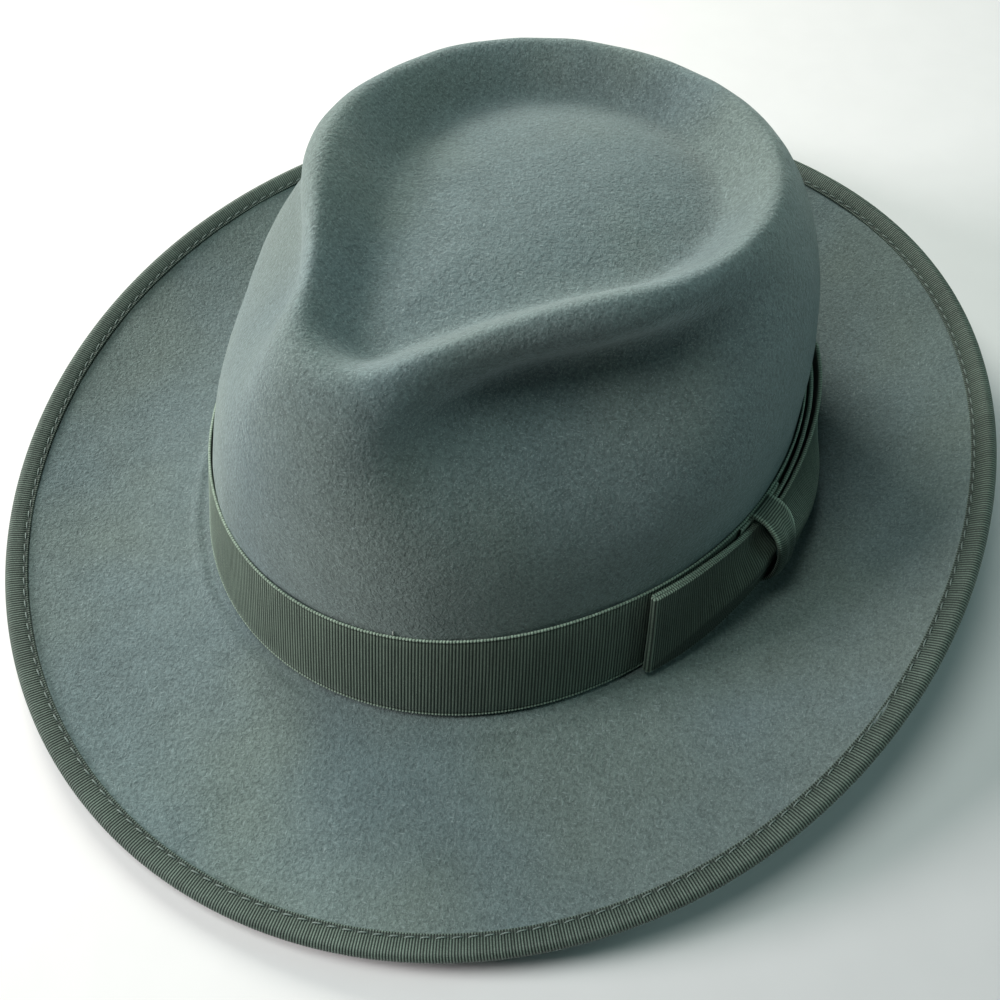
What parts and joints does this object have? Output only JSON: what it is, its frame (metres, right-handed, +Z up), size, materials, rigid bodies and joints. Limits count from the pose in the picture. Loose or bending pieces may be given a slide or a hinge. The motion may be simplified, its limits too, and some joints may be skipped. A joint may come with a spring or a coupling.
{
  "type": "fedora hat",
  "caption": "Fur-felt fedora with a teardrop crease, front pinch and snap brim, a grosgrain band with a side bow, a bound brim edge, a leather sweatband and a satin lining.",
  "frame": {"origin": "centre of the hat's outline seen from above, at the height of the surface it stands on", "axes": "+X towards the wearer's left, the side with the bow; -Y forwards; +Z up"},
  "size_m": [0.2972, 0.3257, 0.11],
  "materials": {
    "fur_felt": "brushed matt fur felt, slate blue-green",
    "band_grosgrain": "ribbed grosgrain, dark green, soft sheen",
    "binding_grosgrain": "ribbed grosgrain, grey-green, soft sheen",
    "binding_thread": "twisted sewing thread",
    "tack_thread": "twisted sewing thread",
    "sweat_leather": "fine-grained roan leather, satin",
    "reed_cord": "smooth covered reed",
    "tape_cloth": "plain woven tape",
    "lining_satin": "satin, pale gold",
    "piping_satin": "satin-covered cord, bronze"
  },
  "bodies": {
    "root": {"felt_body": "fur_felt", "brim_binding": "binding_grosgrain", "binding_top_stitches": "binding_thread", "binding_under_stitches": "binding_thread", "hat_band": "band_grosgrain", "band_lap": "band_grosgrain", "band_tacks": "tack_thread", "bow_front_loop": "band_grosgrain", "bow_rear_loop": "band_grosgrain", "bow_knot": "band_grosgrain", "sweatband": "sweat_leather", "sweatband_reed": "reed_cord", "reed_tape": "tape_cloth", "sweatband_stitches": "tack_thread", "sweatband_bow": "binding_grosgrain", "lining_side": "lining_satin", "lining_tip": "lining_satin", "lining_piping": "piping_satin"}
  },
  "joints": []
}
